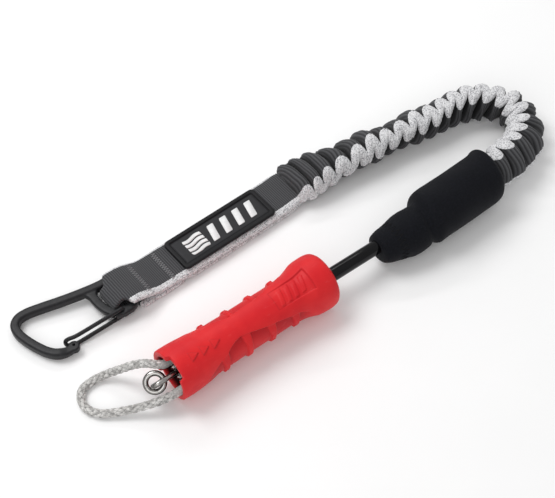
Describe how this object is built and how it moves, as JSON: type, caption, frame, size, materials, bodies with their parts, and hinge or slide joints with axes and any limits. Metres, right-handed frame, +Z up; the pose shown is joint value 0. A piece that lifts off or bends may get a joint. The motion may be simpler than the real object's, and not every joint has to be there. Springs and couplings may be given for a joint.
{
  "type": "kite safety leash",
  "caption": "Short kite safety leash: wire-gate carabiner, webbing end with label patch, ruched bungee, neoprene sleeve and a push-away quick release with a rope loop.",
  "frame": {"origin": "on the floor below the middle of the box round every piece but the free cords", "axes": "+X along the release handle from its mouth to the bungee, +Y from the handle towards the webbing end, +Z up"},
  "size_m": [0.325, 0.1038, 0.0325],
  "materials": {
    "webbing": "woven polyester, cross ribbed",
    "webbing_silver": "heathered silver-grey weave",
    "stitching": "polyester thread",
    "label": "moulded, satin",
    "label_print": "moulded white inlay",
    "anodised": "black anodised, satin",
    "stainless": "polished stainless steel",
    "handle_red": "moulded, satin",
    "tube_black": "glossy",
    "neoprene": "matte knit over foam",
    "rope": "braided, mottled grey",
    "elastic": "latex core and nylon bush"
  },
  "bodies": {
    "leash": {"webbing_loop": "webbing", "bartack_front": "stitching", "bartack_rear": "stitching", "label_patch": "label", "ruched_sleeve": "webbing", "bungee_core": "elastic", "bungee_clamp_front": "stainless", "core_anchor": "stainless", "neoprene_sleeve": "neoprene", "guide_tube": "tube_black", "stop_collar": "stainless", "return_spring": "stainless", "hook_fork": "stainless", "hook_pin": "stainless", "rope_whipping_upper": "rope", "rope_whipping_lower": "rope", "loop_rope": "rope"},
    "handle": {"release_handle": "handle_red", "slide_bush": "elastic"},
    "hook": {"release_hook": "stainless"},
    "ring": {"loop_ring": "stainless"},
    "carabiner": {"carabiner_body": "anodised"},
    "gate": {"wire_gate": "anodised"}
  },
  "joints": [
    {"name": "handle_slide", "type": "slide", "parent": "leash", "child": "handle", "axis": [1, 0, 0], "range_m": [0, 0.028], "stiffness_N_per_m": 400, "springref_m": -0.008, "deforming": ["return_spring"]},
    {"name": "hook_open", "type": "hinge", "parent": "leash", "child": "hook", "pos_m": [-0.07995, -0.0343, 0.01323], "axis": [0, -0.866, -0.5], "range_deg": [0, 60.2]},
    {"name": "ring_turn", "type": "hinge", "parent": "hook", "child": "ring", "pos_m": [-0.09416, -0.03383, 0.015], "axis": [-0.342, -0.4698, 0.8138], "continuous": true},
    {"name": "carabiner_swing", "type": "hinge", "parent": "leash", "child": "carabiner", "pos_m": [-0.07196, 0.0286, 0.0063], "axis": [0, 1, 0], "range_deg": [-95, 95]},
    {"name": "gate_hinge", "type": "hinge", "parent": "carabiner", "child": "gate", "pos_m": [-0.07945, 0.0181, 0.00592], "axis": [0.0506, 0, -0.9987], "range_deg": [0, 25], "stiffness_Nm_per_rad": 0.08, "springref_deg": -14.32}
  ],
  "couplings": [
    {"joint": "hook_open", "follows": "handle_slide", "rad_per_m": 37.4}
  ]
}
